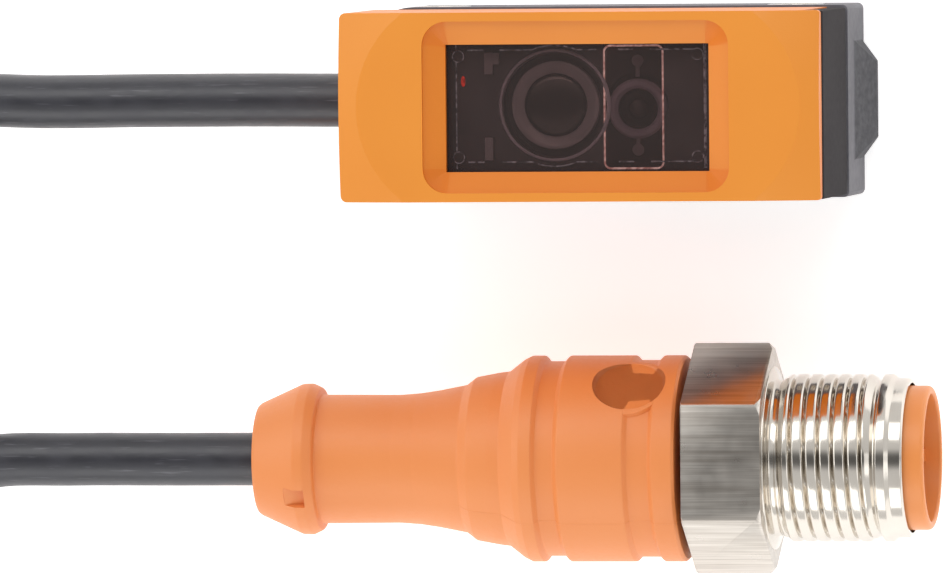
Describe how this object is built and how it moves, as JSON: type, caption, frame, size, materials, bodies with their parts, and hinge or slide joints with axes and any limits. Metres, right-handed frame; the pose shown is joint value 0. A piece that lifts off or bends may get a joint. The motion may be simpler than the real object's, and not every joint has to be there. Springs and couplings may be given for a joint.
{
  "type": "photoelectric sensor",
  "caption": "Box-shaped photoelectric sensor head with a smoked front window, a mounting lug and a short cable ending in a round screw plug.",
  "frame": {"origin": "middle of the sensor head's underside, which is its back face", "axes": "+X along the head from its cable end to its lug end, +Z out of the back face towards the optical face"},
  "size_m": [0.1146, 0.0437, 0.021],
  "materials": {
    "orange_housing": "fine moulded satin orange",
    "grey_housing": "moulded satin mid grey",
    "dark_cover": "smooth dark grey, nearly opaque",
    "black_seal": "matt moulded rubber",
    "nickel_brass": "brass plated with bright nickel",
    "tinned_steel": "thin tinned sheet",
    "smoked_pane": "smoke-tinted polished acrylic",
    "black_plastic": "moulded black",
    "clear_optic": "polished clear acrylic",
    "board_laminate": "green solder mask",
    "chip_epoxy": "matt moulding compound",
    "lamp_body": "milky resin",
    "knob_plastic": "moulded dark grey",
    "cable_jacket": "dull extruded polyurethane",
    "orange_sleeve": "soft moulded orange",
    "orange_insert": "moulded orange",
    "gold_contact": "gold-plated brass"
  },
  "bodies": {
    "sensor": {"cable_clamp": "black_plastic", "cable_coil": "cable_jacket", "cable_grommet": "black_seal", "cable_head_run": "cable_jacket", "cable_plug_run": "cable_jacket", "circuit_board": "board_laminate", "coil_tie": "black_plastic", "conductor_1": "cable_jacket", "conductor_2": "cable_jacket", "conductor_3": "cable_jacket", "conductor_4": "cable_jacket", "connector_boot": "orange_sleeve", "contact_carrier": "orange_insert", "contact_pin_1": "gold_contact", "contact_pin_2": "gold_contact", "contact_pin_3": "gold_contact", "contact_pin_4": "gold_contact", "controller_chip": "chip_epoxy", "emitter_barrel": "black_plastic", "emitter_led": "lamp_body", "emitter_lens": "clear_optic", "face_seal": "black_seal", "front_housing": "orange_housing", "housing_gasket": "black_seal", "indicator_cover": "dark_cover", "mode_control_base": "black_plastic", "mode_knob_seal": "black_seal", "mounting_sleeve_1": "nickel_brass", "mounting_sleeve_2": "nickel_brass", "optics_carrier": "black_plastic", "output_lamp": "lamp_body", "output_light_pipe": "clear_optic", "power_lamp": "lamp_body", "power_light_pipe": "clear_optic", "range_control_base": "black_plastic", "range_knob_seal": "black_seal", "rear_housing": "grey_housing", "receiver_chip": "chip_epoxy", "receiver_lens": "clear_optic", "receiver_lens_ring": "black_plastic", "shield_can": "tinned_steel", "window_pane": "smoked_pane", "window_seal": "black_seal"},
    "ring_nut": {"coupling_nut": "nickel_brass"},
    "range_knob": {"range_knob": "knob_plastic"},
    "mode_knob": {"mode_knob": "knob_plastic"}
  },
  "joints": [
    {"name": "ring_nut_spin", "type": "hinge", "parent": "sensor", "child": "ring_nut", "pos_m": [0.01175, -0.02525, 0.00735], "axis": [1, 0, 0], "continuous": true},
    {"name": "range_knob_turn", "type": "hinge", "parent": "sensor", "child": "range_knob", "pos_m": [-0.00605, 0, 0.002], "axis": [0, 0, -1], "range_deg": [-135, 135]},
    {"name": "mode_knob_turn", "type": "hinge", "parent": "sensor", "child": "mode_knob", "pos_m": [0.00475, 0, 0.002], "axis": [0, 0, -1], "range_deg": [0, 90]}
  ]
}
